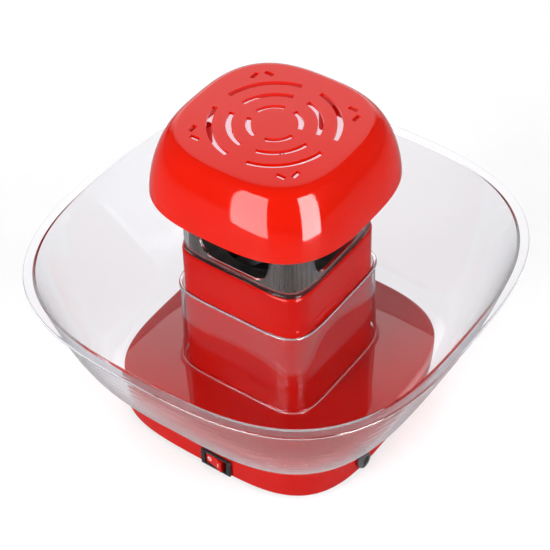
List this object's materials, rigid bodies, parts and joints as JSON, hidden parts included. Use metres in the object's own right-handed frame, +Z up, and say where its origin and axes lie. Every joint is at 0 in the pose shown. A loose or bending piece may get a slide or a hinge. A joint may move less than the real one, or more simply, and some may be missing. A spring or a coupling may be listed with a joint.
{
  "type": "popcorn maker",
  "caption": "Hot-air popcorn maker with a square base and tower, a clear bowl sleeved over the tower, a clear four-way outlet chimney and a domed vented lid.",
  "frame": {"origin": "on the floor under the centre of the base, which is the bottom centre of the bounding box", "axes": "+Z up along the tower, -Y towards the face with the rocker switch, +X towards the face with the cord gland"},
  "size_m": [0.3182, 0.3182, 0.2477],
  "materials": {
    "red_plastic": "high-gloss moulded red",
    "black_plastic": "fine satin black",
    "white_plastic": "satin white",
    "clear_plastic": "clear, polished",
    "dark_steel": "brushed dark",
    "steel": "plain steel",
    "aluminium": "satin drawn aluminium",
    "brass": "plain brass",
    "rubber": "matt black rubber",
    "silicone": "matt brick-red silicone",
    "mica": "layered mica board",
    "board_green": "green circuit board",
    "lead_brown": "brown insulation",
    "lead_blue": "blue insulation",
    "lead_red": "red insulation"
  },
  "bodies": {
    "base": {"base_housing": "red_plastic", "tower_shell": "red_plastic", "bottom_cover": "black_plastic", "fan_duct": "black_plastic", "switch_housing": "black_plastic", "bridge_rectifier": "black_plastic", "filter_capacitor": "black_plastic", "motor_end_cap": "white_plastic", "terminal_block": "white_plastic", "motor_magnet": "dark_steel", "heat_shield": "steel", "motor_can": "steel", "switch_pivot": "steel", "heater_coil": "steel", "thermal_fuse": "steel", "bottom_screw_1": "steel", "bottom_screw_2": "steel", "bottom_screw_3": "steel", "bottom_screw_4": "steel", "tower_screw_1": "steel", "tower_screw_2": "steel", "tower_screw_3": "steel", "tower_screw_4": "steel", "chamber_screw_1": "steel", "chamber_screw_2": "steel", "motor_screw_1": "steel", "motor_screw_2": "steel", "popping_chamber": "aluminium", "thermostat": "aluminium", "motor_bearing": "brass", "switch_terminal_1": "brass", "switch_terminal_2": "brass", "foot_1": "rubber", "foot_2": "rubber", "foot_3": "rubber", "foot_4": "rubber", "cord_gland": "rubber", "chamber_gasket": "silicone", "heater_frame": "mica", "rectifier_board": "board_green", "live_lead": "lead_brown", "switched_lead": "lead_brown", "neutral_lead": "lead_blue", "board_lead": "lead_blue", "motor_lead": "lead_red"},
    "fan": {"fan_impeller": "white_plastic", "motor_shaft": "steel", "motor_armature": "dark_steel"},
    "rocker": {"switch_rocker": "red_plastic"},
    "bowl": {"bowl": "clear_plastic"},
    "lid": {"top_cover": "red_plastic", "inner_deflector": "white_plastic", "chimney_shell": "clear_plastic", "chimney_liner": "dark_steel", "cover_screw_1": "steel", "cover_screw_2": "steel", "cover_screw_3": "steel", "cover_screw_4": "steel"}
  },
  "joints": [
    {"name": "bowl_lift", "type": "slide", "parent": "base", "child": "bowl", "axis": [0, 0, 1], "range_m": [0, 0.115]},
    {"name": "lid_lift", "type": "slide", "parent": "bowl", "child": "lid", "axis": [0, 0, 1], "range_m": [0, 0.08]},
    {"name": "rocker_tilt", "type": "hinge", "parent": "base", "child": "rocker", "pos_m": [0.014, -0.095, 0.0126], "axis": [0, 0, 1], "range_deg": [0, 24]},
    {"name": "fan_spin", "type": "hinge", "parent": "base", "child": "fan", "pos_m": [0, 0, 0.03], "axis": [0, 0, 1], "continuous": true}
  ]
}
